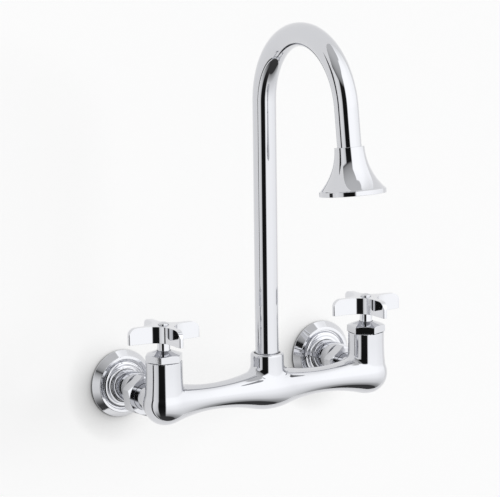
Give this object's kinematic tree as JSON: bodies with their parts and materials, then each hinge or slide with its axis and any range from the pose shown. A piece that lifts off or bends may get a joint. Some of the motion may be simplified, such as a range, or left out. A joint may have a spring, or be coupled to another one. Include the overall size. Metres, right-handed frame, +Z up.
{
  "type": "utility sink faucet",
  "caption": "Wall-mounted chrome utility sink faucet with two cross handles, an arched bridge body and a high swinging gooseneck spout ending in a trumpet bell.",
  "frame": {"origin": "on the finished wall plane, midway between the two inlet axes", "axes": "+X along the bridge to the cold side (the user's right), +Y into the wall, +Z up"},
  "size_m": [0.2694, 0.2316, 0.3427],
  "materials": {
    "plated_casting": "polished",
    "plated_nut": "polished",
    "plated_handle": "polished",
    "plated_button": "polished",
    "plated_flange": "polished",
    "plated_adapter": "polished",
    "plated_coupling": "polished",
    "plated_tube": "polished",
    "plated_bell": "polished",
    "turned_brass": "turned",
    "bright_steel": "satin",
    "black_rubber": "matte",
    "dark_plastic": "matte",
    "white_ceramic": "gloss"
  },
  "bodies": {
    "valve_body": {"bridge_casting": "plated_casting", "hot_bonnet_nut": "plated_nut", "hot_cartridge_body": "turned_brass", "hot_cartridge_ring": "black_rubber", "hot_seat_seal": "black_rubber", "hot_fixed_disc": "white_ceramic", "hot_wall_flange": "plated_flange", "hot_wall_adapter": "plated_adapter", "hot_inlet_shank": "plated_adapter", "hot_coupling_nut": "plated_coupling", "hot_union_washer": "black_rubber", "cold_bonnet_nut": "plated_nut", "cold_cartridge_body": "turned_brass", "cold_cartridge_ring": "black_rubber", "cold_seat_seal": "black_rubber", "cold_fixed_disc": "white_ceramic", "cold_wall_flange": "plated_flange", "cold_wall_adapter": "plated_adapter", "cold_inlet_shank": "plated_adapter", "cold_coupling_nut": "plated_coupling", "cold_union_washer": "black_rubber", "spout_wear_sleeve": "dark_plastic"},
    "hot_handle_body": {"hot_moving_disc": "white_ceramic", "hot_stem": "turned_brass", "hot_stem_ring": "black_rubber", "hot_handle": "plated_handle", "hot_handle_screw": "bright_steel", "hot_index_button": "plated_button"},
    "cold_handle_body": {"cold_moving_disc": "white_ceramic", "cold_stem": "turned_brass", "cold_stem_ring": "black_rubber", "cold_handle": "plated_handle", "cold_handle_screw": "bright_steel", "cold_index_button": "plated_button"},
    "spout_body": {"spout_tube": "plated_tube", "spout_shank": "turned_brass", "spout_lower_ring": "black_rubber", "spout_upper_ring": "black_rubber", "spout_snap_ring": "bright_steel", "spray_bell": "plated_bell", "bell_nipple": "turned_brass", "bell_washer": "black_rubber", "rose_face": "bright_steel"}
  },
  "joints": [
    {"name": "hot_handle_turn", "type": "hinge", "parent": "valve_body", "child": "hot_handle_body", "pos_m": [-0.1016, -0.0725, 0.0565], "axis": [0, 0, 1], "range_deg": [0, 90]},
    {"name": "cold_handle_turn", "type": "hinge", "parent": "valve_body", "child": "cold_handle_body", "pos_m": [0.1016, -0.0725, 0.0565], "axis": [0, 0, 1], "range_deg": [-90, 0]},
    {"name": "spout_swivel", "type": "hinge", "parent": "valve_body", "child": "spout_body", "pos_m": [0, -0.0725, 0.0271], "axis": [0, 0, 1], "range_deg": [-100, 100]}
  ]
}
